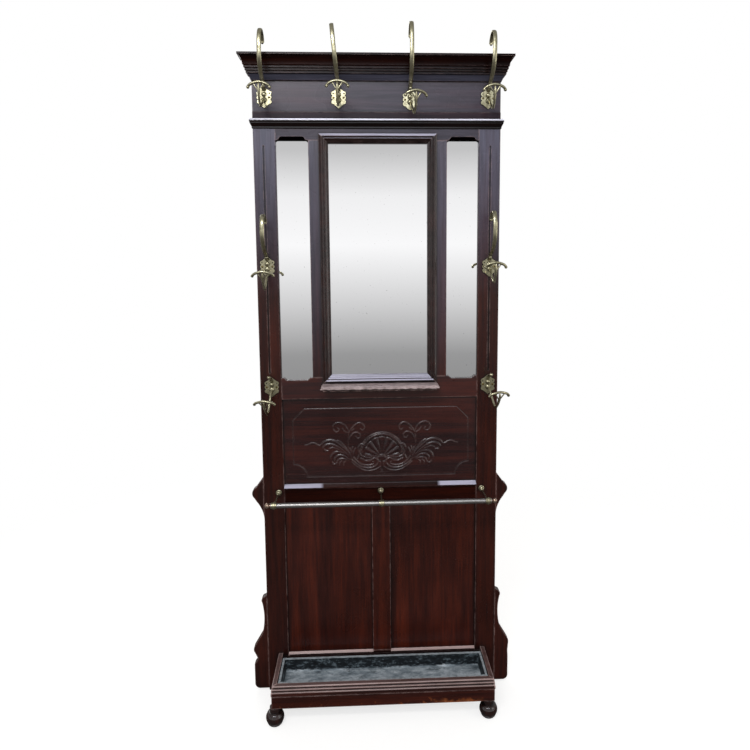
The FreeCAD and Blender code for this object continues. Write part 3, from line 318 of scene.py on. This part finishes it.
def tray_metal(name, floor_at, rim_at):
    """Dull zinc, mottled nearly black on the walls and painted pale on the floor, a painted highlight for the light
    that the floor catches.
    """
    material, g, output = new_material(name)
    place = g.node("TexCoord").outputs["Object"]
    height = g.axes(place)["Z"]
    streaky = g.node("Mapping", {"Vector": place, "Scale": (0.45, 1, 1)}).outputs[0]
    blotch = g.noise(streaky, 46, 6, 0.78)
    grain = g.noise(streaky, 150, 4, 0.75)
    wall = g.ramp(g.calc("MULTIPLY", g.calc("ADD", blotch, grain), 0.5),
                  (0.42, rgb(6, 10, 14)), (0.52, rgb(24, 31, 36)), (0.60, rgb(100, 112, 118)))
    # painted light: the floor's pale mottled colour stands in for the light it catches
    painted_lit_floor = g.ramp(g.noise(streaky, 40, 6, 0.75), (0.34, rgb(92, 103, 110)), (0.5, rgb(152, 162, 168)),
                    (0.66, rgb(205, 212, 216)))
    low = g.spread(g.calc("ADD", height, g.calc("MULTIPLY", g.calc("SUBTRACT", blotch, 0.5), 0.03)),
                   floor_at + 7 * MM, floor_at + 2 * MM)
    tint = g.blend(low, wall, painted_lit_floor)
    rim = g.spread(height, rim_at - 2.2 * MM, rim_at - 0.8 * MM)
    tint = g.blend(g.calc("MULTIPLY", rim, g.spread(grain, 0.3, 0.55, 0.35, 0.95)), tint, rgb(176, 184, 188))
    skin = g.node("Bump", {"Strength": 0.35, "Distance": 0.8 * MM, "Height": blotch}).outputs[0]
    shader = g.node("BsdfPrincipled", {"Base Color": tint, "Roughness": g.spread(grain, 0.3, 0.7, 0.45, 0.7),
                                       "Normal": skin, "Specular IOR Level": 0.4})
    shader.inputs["Metallic"].default_value = 0.25
    finish_with(g, output, shader)
    return material


def dress(node, material):
    """Give a CAD node one finish in all its slots."""
    for index in range(len(NODES[node].data.materials)):
        NODES[node].data.materials[index] = material


# node: grain direction, brightness of the tint (partly the wood's tone, partly painted light and shade part by
# part), specular level, roughness, wear of the edges (partly real wear, partly painted highlight)
WOODS = {
    "left_stile": ("z", 0.7, 0.3, 0.27, 0.3),
    "right_stile": ("z", 0.7, 0.3, 0.27, 0.3),
    "mirror_top_rail": ("x", 0.45, 0.26, 0.24, 0.3),
    "mirror_bottom_rail": ("x", 0.9, 0.4, 0.27, 0.3),
    "left_mirror_muntin": ("z", 0.6, 0.4, 0.26, 0.4),
    "right_mirror_muntin": ("z", 0.6, 0.4, 0.26, 0.4),
    "lower_rail": ("x", 0.5, 0.05, 0.34, 0.15),
    "lower_muntin": ("z", 1.0, 0.3, 0.3, 0.35),
    "bottom_rail": ("x", 0.7, 0.3, 0.34, 0.9),
    "left_lower_panel": ("z", 1.1, 0.3, 0.28, 0.2),
    "right_lower_panel": ("z", 1.15, 0.3, 0.28, 0.2),
    "frieze_bottom_rail": ("x", 0.4, 0.1, 0.22, 0.15),
    "frieze_panel": ("x", 0.55, 0.26, 0.24, 0.2),
    "frieze_top_rail": ("x", 0.4, 0.1, 0.24, 0.1),
    "cornice_top_board": ("x", 0.6, 0.3, 0.5, 0.3),
    "cornice_front": ("x", 0.2, 0.1, 0.22, 0.45),
    "cornice_left_return": ("y", 0.2, 0.1, 0.22, 0.45),
    "cornice_right_return": ("y", 0.2, 0.1, 0.22, 0.45),
    "neck_moulding": ("x", 0.1, 0.3, 0.16, 0.0),
    "base_moulding": ("x", 0.8, 0.45, 0.25, 1.0),
    "mirror_moulding": ("x", 0.35, 0.45, 0.16, 0.3),
    "sill_moulding": ("x", 0.4, 0.2, 0.2, 0.2),
    "left_ear": ("z", 0.7, 0.3, 0.3, 0.4),
    "right_ear": ("z", 0.7, 0.3, 0.3, 0.4),
    "left_wing": ("z", 0.9, 0.3, 0.32, 0.45),
    "right_wing": ("z", 0.9, 0.3, 0.32, 0.45),
    "base_left_side": ("y", 0.9, 0.35, 0.3, 0.5),
    "base_right_side": ("y", 0.9, 0.35, 0.3, 0.5),
    "base_back": ("x", 0.3, 0.2, 0.4, 0.2),
    "base_floor": ("x", 0.2, 0.1, 0.5, 0.0),
    "base_corner_blocks": ("z", 0.8, 0.2, 0.5, 0.2),
    "left_foot": ("z", 0.35, 0.8, 0.12, 0.3),
    "right_foot": ("z", 0.35, 0.8, 0.12, 0.3),
}
# what else some of them need: see wood()
EXTRAS = {
    "left_stile": {"painted_sky_sheen": (0.56, 1.32, 1.76)},
    "right_stile": {"painted_sky_sheen": (0.56, 1.32, 1.76)},
    "left_mirror_muntin": {"painted_sky_sheen": (0.42, 1.05, 1.6)},
    "right_mirror_muntin": {"painted_sky_sheen": (0.42, 1.05, 1.6)},
    "mirror_bottom_rail": {"painted_sky_sheen": (0.02, 0.98, 1.0)},
    "mirror_top_rail": {"painted_sky_sheen": (0.26, 1.7, 1.75)},
    "frieze_panel": {"painted_sky_sheen": (0.26, 1.7, 1.75)},
    "frieze_bottom_rail": {"painted_sky_sheen": (0.12, 1.7, 1.75)},
    "cornice_front": {"painted_sky_sheen": (0.3, 1.996, 1.990), "arris": 1.2 * MM},
    "cornice_left_return": {"painted_sky_sheen": (0.3, 1.996, 1.990), "arris": 1.2 * MM},
    "cornice_right_return": {"painted_sky_sheen": (0.3, 1.996, 1.990), "arris": 1.2 * MM},
    "neck_moulding": {"painted_ledge_glint": (1.0, WHITE_GLINT, 0, 1.0), "arris": 1.5 * MM},
    "mirror_moulding": {"painted_ledge_glint": (0.75, GLINT, 0, 0.15), "arris": 2.0 * MM},
    "sill_moulding": {"painted_ledge_glint": (0.8, GLINT, 0.185, 0.0), "arris": 1.2 * MM},
    "base_moulding": {"painted_ledge_glint": (0.6, PINK_GLINT, 0, 0.25), "arris": 3.0 * MM},
    "bottom_rail": {"painted_ledge_glint": (0.6, PINK_GLINT, 0, 0.6)},
}
BRASS_BRIGHT = rgb(184, 178, 148)
BRASS_DULL = rgb(80, 74, 50)
COPPERY = rgb(206, 178, 160)
NICKEL = rgb(160, 157, 154)


def dress_frame():
    for seed, (node, (grain, shade, gloss, rough, edge_wear_and_glint)) in enumerate(WOODS.items(), start=1):
        dress(node, wood("mahogany_" + node, grain, seed, shade, gloss, rough, edge_wear_and_glint,
                         **EXTRAS.get(node, {})))
    foot_of_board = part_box("base_front")[0].z
    dress("base_front", wood("mahogany_base_front", "x", 40, 1.0, 0.3, 0.3, 0.5, chips=foot_of_board + 9 * MM))
    for seed, node in enumerate(("left_backboard", "centre_backboard", "right_backboard"), start=1):
        dress(node, pine("pine_" + node, seed))
    dress("centre_mirror", mirror_glass("silvered_glass"))
    rail_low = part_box("left_mirror_muntin")[1].z
    for node in ("left_mirror", "right_mirror"):
        low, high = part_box(node)
        field = ((low.x + high.x) / 2, (high.x - low.x) / 2 - 7 * MM, rail_low - 1.5 * MM, 8 * MM)
        dress(node, mirror_glass("silvered_" + node, field))
    hooks = sorted(node for node in NODES if node.endswith("_hook") or node.startswith("frieze_hook"))
    for seed, node in enumerate(hooks):
        dress(node, metal("brass_" + node, BRASS_BRIGHT, BRASS_DULL, seed))
    brackets = metal("brass_brackets", BRASS_BRIGHT, BRASS_DULL, 9, rough=0.26)
    for node in ("left_bracket", "centre_bracket", "right_bracket"):
        dress(node, brackets)
    dress("hook_screws", metal("brass_screws", rgb(120, 104, 64), rgb(60, 48, 26), 11))
    finials = metal("brass_finials", COPPERY, BRASS_DULL, 12, rough=0.3)
    for node in ("left_finial", "right_finial"):
        dress(node, finials)
    dress("umbrella_tube", metal("nickelled_tube", NICKEL, rgb(150, 146, 140), 13, rough=0.3, patina=0.25,
                                 stretch=(0.08, 1, 1), spots=0.1))
    dress("drip_tray", tray_metal("tarnished_zinc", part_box("drip_tray")[0].z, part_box("drip_tray")[1].z))


# ---------------------------------------------------------------- carving
SHELL_OFFSET = (5.0, -36.0)
HUB = (0.0, -22.0)
RIBS = 11
FAN_START = math.radians(-24)
FAN_END = math.radians(204)

# Strokes of the right half, in mm from the shell's middle: points, half width, height, blunt start
LEAVES = [
    ([(99, -22), (112, 0), (134, 20), (152, 33), (171, 37), (189, 31), (197, 24)], 6.0, 2.9),
    ([(102, -20), (131, 8), (148, 18), (166, 24), (182, 21), (189, 12), (184, 4), (175, 4)], 5.2, 2.6),
    ([(106, -21), (128, 1), (146, 9), (160, 13), (171, 10)], 4.6, 2.2),
    ([(114, 4), (121, 16), (133, 30)], 3.2, 2.0),
    ([(122, 14), (131, 28), (144, 38)], 3.0, 2.0),
    ([(103, -27), (113, -12), (129, -3), (146, -2), (159, -9), (165, -23), (163, -36), (155, -43),
      (147, -37)], 5.4, 2.7),
    ([(106, -28), (124, -15), (141, -14), (152, -22), (154, -30)], 4.8, 2.5),
    ([(108, -30), (124, -25), (138, -26), (146, -33)], 4.2, 2.2),
    ([(118, -30), (124, -38), (125, -47)], 2.8, 1.8),
    ([(130, -30), (137, -38), (138, -47)], 2.6, 1.8),
    ([(94, -17), (91, -4), (86, 10)], 3.4, 2.0),
    ([(96, -17), (97, -2), (95, 15)], 3.4, 2.2),
    ([(98, -17), (102, -4), (104, 11)], 3.4, 2.0),
]
TENDRILS = [
    ([(106, -16), (109, 10), (110, 34), (108, 56), (101, 71), (91, 84), (76, 94), (62, 90), (56, 78),
      (62, 70), (69, 75)], 2.2, 1.5),
    ([(109, 50), (110, 68), (115, 81), (125, 91), (139, 96), (152, 92), (158, 80), (153, 69), (144, 66),
      (138, 73), (144, 79)], 2.1, 1.4),
    ([(109, 36), (102, 49), (93, 60), (82, 63), (72, 57), (71, 47), (79, 43), (85, 50)], 2.1, 1.4),
    ([(112, 62), (122, 68), (128, 78)], 1.8, 1.2),
    ([(104, 66), (96, 70), (90, 76)], 1.8, 1.2),
    ([(189, 27), (196, 23), (206, 23), (216, 29), (228, 31), (238, 26), (249, 24)], 1.7, 1.7),
]
SCROLLS = [
    ([(68, -16), (75, 0), (75, 14), (67, 23), (58, 18), (59, 9), (65, 11)], 3.4, 2.6),
    ([(102, -24), (92, -34), (80, -45), (62, -54), (42, -57), (24, -52), (13, -40), (16, -28), (27, -24),
      (34, -31), (28, -37)], 3.2, 2.6),
    ([(96, -14), (86, -28), (72, -41), (56, -47), (40, -47), (28, -43)], 2.6, 2.2),
    ([(98, -36), (82, -50), (62, -62), (42, -66), (22, -62), (6, -52)], 2.0, 1.7),
    ([(70, -14), (58, -20), (44, -22), (32, -20)], 3.4, 2.4),
    ([(68, -24), (56, -32), (46, -34), (36, -33)], 3.2, 2.3),
    ([(80, -26), (74, -14), (72, -2)], 2.6, 2.0),
]


def smooth_line(points, steps=10):
    """Points along a smooth line through the given ones."""
    held = [points[0]] + list(points) + [points[-1]]
    line = []
    for a, b, c, d in zip(held, held[1:], held[2:], held[3:]):
        for step in range(steps):
            u = step / steps
            line.append([0.5 * (2 * b[k] + (c[k] - a[k]) * u + (2 * a[k] - 5 * b[k] + 4 * c[k] - d[k]) * u * u
                                + (3 * b[k] - a[k] - 3 * c[k] + d[k]) * u ** 3) for k in (0, 1)])
    line.append(list(points[-1]))
    return np.array(line)


def stroke(across, up, height, points, half, rise, sharp=0.0):
    """Raise a rounded, tapering ridge along a line; sharp leans it towards a V."""
    line = smooth_line(points)
    low, high = line.min(0) - half, line.max(0) + half
    near = (across >= low[0]) & (across <= high[0]) & (up >= low[1]) & (up <= high[1])
    x, z = across[near], up[near]
    best = np.zeros(x.shape)
    share = np.linspace(0, 1, len(line))
    for start, end, at in zip(line[:-1], line[1:], share):
        way = end - start
        length = float(way @ way) + 1e-9
        t = np.clip(((x - start[0]) * way[0] + (z - start[1]) * way[1]) / length, 0, 1)
        gap = np.hypot(x - start[0] - t * way[0], z - start[1] - t * way[1])
        width = half * (0.42 + 0.58 * math.sin(math.pi * min(1.0, 0.12 + 0.94 * at)) ** 0.7)
        inner = np.clip(1 - gap / width, 0, 1)
        rounded = np.sqrt(np.clip(1 - (gap / width) ** 2, 0, 1))
        best = np.maximum(best, rise * (sharp * inner + (1 - sharp) * rounded) * (0.75 + 0.25 * width / half))
    height[near] = np.maximum(height[near], best)


def fan(across, up, height):
    """The scallop: a hollowed disc with fluted ribs, inside a raised rim."""
    x, z = across - HUB[0], up - HUB[1]
    angle = np.arctan2(z, x)
    angle = np.where(angle < -math.pi / 2, angle + 2 * math.pi, angle)
    radius = np.hypot(x, z)
    reach = 57 + 14 * np.clip(np.sin(angle), -0.2, 1)
    pitch = (FAN_END - FAN_START) / RIBS
    phase = (angle - FAN_START) / pitch
    rib = np.abs(np.sin(math.pi * phase)) ** 0.6
    inside = (angle > FAN_START) & (angle < FAN_END)
    share = np.clip(radius / reach, 0, 1.2)
    fluted = -2.2 + 4.6 * rib * np.clip(share * 1.6, 0, 1) * (1 - 0.25 * share)
    tip = reach * (0.93 + 0.05 * rib)
    bowl = np.where(radius < tip, fluted, -1.6)
    height[inside & (radius < reach + 2)] = bowl[inside & (radius < reach + 2)]
    knob = 3.0 * np.sqrt(np.clip(1 - (radius / 11) ** 2, 0, 1))
    height[:] = np.where(radius < 11, np.maximum(height, knob), height)
    for distance, half, rise in ((6, 4.2, 2.8), (12.5, 1.8, 1.5)):
        off = np.abs(radius - reach - distance) / half
        ridge = rise * np.sqrt(np.clip(1 - off ** 2, 0, 1))
        within = (angle > math.radians(14)) & (angle < math.radians(166))
        height[:] = np.where(within & (off < 1), np.maximum(height, ridge), height)


def border(across, up, height, left, right, low, high):
    """Incised frame line: clipped upper corners and hollow lower corners."""
    clip = 38.0
    hollow = 43.0
    inner = np.minimum.reduce([across - left, right - across, up - low, high - up])
    corner_x = np.minimum(across - left, right - across)
    slant = (corner_x + (high - up) - clip) / math.sqrt(2)
    dip = np.hypot(corner_x, up - low) - hollow
    edge = np.minimum.reduce([inner, slant, dip])
    groove = np.clip(1 - (np.abs(edge) / 1.5) ** 2, 0, 1)
    height -= 1.3 * groove
    lip = np.clip(1 - (np.abs(edge - 2.4) / 1.1) ** 2, 0, 1)
    height += 0.35 * lip


def grid_mesh(name, columns, rows, front, back_at):
    """A closed slab: front[row, column] gives depth on the front, and the back is flat."""
    wide, tall = len(columns), len(rows)
    x, z = np.meshgrid(columns, rows)
    outer = np.stack([x, front, z], -1).reshape(-1, 3)
    inner = np.stack([x, np.full_like(x, back_at), z], -1).reshape(-1, 3)
    number = np.arange(wide * tall).reshape(tall, wide)
    faces = np.stack([number[:-1, :-1], number[:-1, 1:], number[1:, 1:], number[1:, :-1]], -1).reshape(-1, 4)
    rim = np.concatenate([number[0, :], number[1:, -1], number[-1, -2::-1], number[-2:0:-1, 0]])
    after = np.roll(rim, -1)
    count = wide * tall
    backs = faces[:, ::-1] + count
    walls = np.stack([after, rim, rim + count, after + count], -1)
    mesh = bpy.data.meshes.new(name)
    mesh.from_pydata(np.concatenate([outer, inner]).tolist(), [], np.concatenate([faces, backs, walls]).tolist())
    smooth = np.zeros(len(mesh.polygons), bool)
    smooth[:len(faces)] = True
    mesh.polygons.foreach_set("use_smooth", smooth)
    mesh.update()
    obj = bpy.data.objects.new(name, mesh)
    bpy.context.scene.collection.objects.link(obj)
    return obj


def make_carved_panel():
    """The middle panel with its relief, in place of the plain slab in the frame."""
    low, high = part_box("carved_panel")
    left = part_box("left_stile")[1].x
    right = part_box("right_stile")[0].x
    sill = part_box("sill_moulding")[1].z
    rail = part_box("mirror_bottom_rail")[0].z
    middle = ((left + right) / 2 + SHELL_OFFSET[0] * MM, (sill + rail) / 2 + SHELL_OFFSET[1] * MM)
    step = 1.2 * MM
    columns = np.linspace(low.x, high.x, int((high.x - low.x) / step))
    rows = np.linspace(low.z, high.z, int((high.z - low.z) / step))
    x, z = np.meshgrid(columns, rows)
    across = (x - middle[0]) / MM
    up = (z - middle[1]) / MM
    height = np.zeros_like(across)
    mirrored = np.abs(across)
    sunk = np.clip(1 - ((across / 118) ** 2 + ((up + 6) / 66) ** 2), 0, 1)
    height -= 1.6 * np.clip(sunk * 3, 0, 1)
    fan(across, up, height)
    for points, half, rise in SCROLLS:
        stroke(mirrored, up, height, points, half, rise)
    for points, half, rise in LEAVES:
        stroke(mirrored, up, height, points, half, rise, sharp=0.35)
    for points, half, rise in TENDRILS:
        stroke(mirrored, up, height, points, half, rise)
    border(across, up, height, (left - middle[0]) / MM + 31, (right - middle[0]) / MM - 26,
           (sill - middle[1]) / MM + 23, (rail - middle[1]) / MM - 32)
    panel = grid_mesh("carved_panel_relief", columns, rows, low.y - height * MM, high.y)
    panel.data.materials.append(wood("mahogany_carved", "x", 50, 0.68, 0.45, 0.22, 0.3, painted_sky_sheen=(0.02, 0.5, 0.6)))
    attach(panel, "stand")
    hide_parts("carved_panel")


# ---------------------------------------------------------------- worn shelf
SHELF_SECTION = [(5.4, 0.0), (4.6, -0.5), (4.2, -1.6), (4.0, -4.6), (2.6, -5.2), (0.9, -6.0), (0.2, -7.4),
                 (0.5, -9.0), (1.8, -10.0), (6.5, -10.6), (8.0, -11.2), (8.0, -15.0), (9.0, -16.0)]
SCALLOP = 30.0


def make_worn_shelf():
    """The shelf with its nosing nibbled away into irregular scallops."""
    low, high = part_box("shelf_board")
    wide, deep = (high.x - low.x) / MM, (high.y - low.y) / MM
    count_side, count_front = int(deep / 1.5), int(wide / 1.5)
    left = [(0.0, 1 - i / count_side) for i in range(count_side)]
    front = [(i / count_front, 0.0) for i in range(count_front)]
    right = [(1.0, i / count_side) for i in range(count_side + 1)]
    plan = left + front + right
    run = [-deep * v for u, v in left] + [wide * u for u, v in front] + [wide + deep * v for u, v in right]
    points = []
    for inset, level in SHELF_SECTION:
        lower = min(1.0, max(0.0, (-level - 5.0) / 3.0))
        for (u, v), along in zip(plan, run):
            bite = abs(math.sin(math.pi * (along + 6 * math.sin(along / 41)) / SCALLOP)) ** 1.6
            bite *= 2.6 + 1.1 * math.sin(along / 23 + 1) + 0.7 * math.sin(along / 7.3)
            fray = 0.25 * math.sin(along / 1.9 + level) + 0.2 * math.sin(along / 3.1 + 2)
            at_back = 0.0 if v > 0.97 else 1.0
            taken = inset + at_back * (lower * max(0.0, bite) + 0.3 + fray)
            sink = 0.35 * math.sin(along / 17) * (1 - lower) * at_back
            points.append((low.x + (taken + u * (wide - 2 * taken)) * MM,
                           low.y + (taken * (1 - v) + v * deep) * MM,
                           high.z + (level - 0.4 * (level == 0.0) - abs(sink)) * MM))
    size = len(plan)
    faces = [list(range(size)), list(range(len(points) - 1, len(points) - size - 1, -1))]
    for ring in range(len(SHELF_SECTION) - 1):
        for i in range(size):
            a, b = ring * size + i, ring * size + (i + 1) % size
            faces.append([b, a, a + size, b + size])
    mesh = bpy.data.meshes.new("worn_shelf")
    mesh.from_pydata(points, [], faces)
    mesh.update()
    mesh.materials.append(wood("mahogany_shelf", "x", 60, 1.0, 0.35, 0.3, 0.9, bleach=high.z - 9 * MM))
    shelf = bpy.data.objects.new("worn_shelf", mesh)
    bpy.context.scene.collection.objects.link(shelf)
    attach(shelf, "stand")
    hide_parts("shelf_board")


# ---------------------------------------------------------------- studio
def add_area(name, place, aim, size, power, colour=(1, 1, 1)):
    lamp = bpy.data.lights.new(name, "AREA")
    lamp.shape = "RECTANGLE"
    lamp.size, lamp.size_y = size
    lamp.energy = power
    lamp.color = colour
    obj = bpy.data.objects.new(name, lamp)
    bpy.context.scene.collection.objects.link(obj)
    obj.location = place
    obj.rotation_euler = (Vector(aim) - Vector(place)).to_track_quat("-Z", "Y").to_euler()
    obj.visible_camera = False
    return obj


def make_lights():
    add_area("window_softbox", (-0.5, -2.9, 3.3), (0, 0, 1.5), (3.0, 1.7), 50, (0.84, 0.90, 1.0))
    add_area("key_lamp", (-0.7, -2.1, 3.0), (0, 0, 1.2), (0.9, 0.3), 24, (1.0, 0.98, 0.97))
    add_area("side_fill", (2.6, -1.6, 1.5), (0, 0, 1.0), (1.2, 2.2), 14, (1.0, 0.97, 0.93))
    add_area("back_fill", (-1.2, 2.8, 2.2), (0, 0, 1.0), (2.0, 1.6), 30)


def make_world():
    """White to the camera; a soft room that is brightest at eye level to everything else."""
    world = bpy.data.worlds.new("studio")
    world.use_nodes = True
    bpy.context.scene.world = world
    g = Graph(world.node_tree)
    output = g.node("OutputWorld")
    rise = g.axes(g.node("TexCoord").outputs["Generated"])["Z"]
    grey = lambda level: (level, level, level * 1.01, 1)
    # the ramp runs from 0, straight down, to 1, straight up, with the horizon at 0.5
    share = g.spread(rise, -1, 1)
    room = g.ramp(share, (0.30, grey(0.16)), (0.425, grey(0.33)), (0.465, grey(0.66)), (0.515, grey(1.02)),
                  (0.555, grey(0.93)), (0.59, grey(0.58)), (0.68, grey(0.42)), (1.0, grey(0.38)))
    seen = g.node("LightPath").outputs["Is Camera Ray"]
    colour = g.blend(seen, room, (1, 1, 1, 1))
    back = g.node("Background", {"Color": colour, "Strength": 1.0})
    g.tree.links.new(back.outputs[0], output.inputs["Surface"])


def make_floor():
    """Pale floor that keeps the object's shadow near it and fades to white further off."""
    mesh = bpy.data.meshes.new("floor")
    reach = 4.5
    mesh.from_pydata([(-reach, -reach, 0), (reach, -reach, 0), (reach, reach, 0), (-reach, reach, 0)], [],
                     [(0, 1, 2, 3)])
    floor = bpy.data.objects.new("floor", mesh)
    bpy.context.scene.collection.objects.link(floor)
    material, g, output = new_material("pale_floor")
    place = g.node("TexCoord").outputs["Object"]
    far = g.spread(g.node("VectorMath", {0: place}, operation="LENGTH").outputs["Value"], 0.9, 2.4)
    matt = g.node("BsdfDiffuse", {"Color": rgb(178, 176, 172)})
    lift = g.node("Emission", {"Color": (1, 1, 1, 1), "Strength": 0.72})
    white = g.node("Emission", {"Color": (1, 1, 1, 1), "Strength": 1.0})
    near = g.node("AddShader")
    g.tree.links.new(matt.outputs[0], near.inputs[0])
    g.tree.links.new(lift.outputs[0], near.inputs[1])
    faded = g.node("MixShader", {0: far})
    g.tree.links.new(near.outputs[0], faded.inputs[1])
    g.tree.links.new(white.outputs[0], faded.inputs[2])
    paths = g.node("LightPath").outputs
    dim = g.node("BsdfDiffuse", {"Color": rgb(112, 109, 107)})
    glossy = g.node("MixShader", {0: paths["Is Glossy Ray"]})
    g.tree.links.new(matt.outputs[0], glossy.inputs[1])
    g.tree.links.new(dim.outputs[0], glossy.inputs[2])
    seen = g.node("MixShader", {0: paths["Is Camera Ray"]})
    g.tree.links.new(glossy.outputs[0], seen.inputs[1])
    g.tree.links.new(faded.outputs[0], seen.inputs[2])
    finish_with(g, output, seen)
    mesh.materials.append(material)


def make_camera():
    """Eye level, a little left of the middle, turned right and tipped down."""
    camera = bpy.data.cameras.new("camera")
    camera.sensor_width = 36
    camera.lens = 28.77
    camera.shift_x = -0.0198
    camera.shift_y = -0.0622
    camera.clip_start = 0.05
    obj = bpy.data.objects.new("camera", camera)
    bpy.context.scene.collection.objects.link(obj)
    turn = Matrix.Rotation(-0.0430, 4, "Z")
    tip = Matrix.Rotation(math.pi / 2 - 0.1073, 4, "X")
    roll = Matrix.Rotation(-0.0069, 4, "Z")
    obj.matrix_world = Matrix.Translation((-0.0482, -1.8168, 1.4227)) @ turn @ tip @ roll
    bpy.context.scene.camera = obj


dress_frame()
make_carved_panel()
make_worn_shelf()
make_lights()
make_world()
make_floor()
make_camera()
bpy.context.scene.view_settings.view_transform = "Standard"
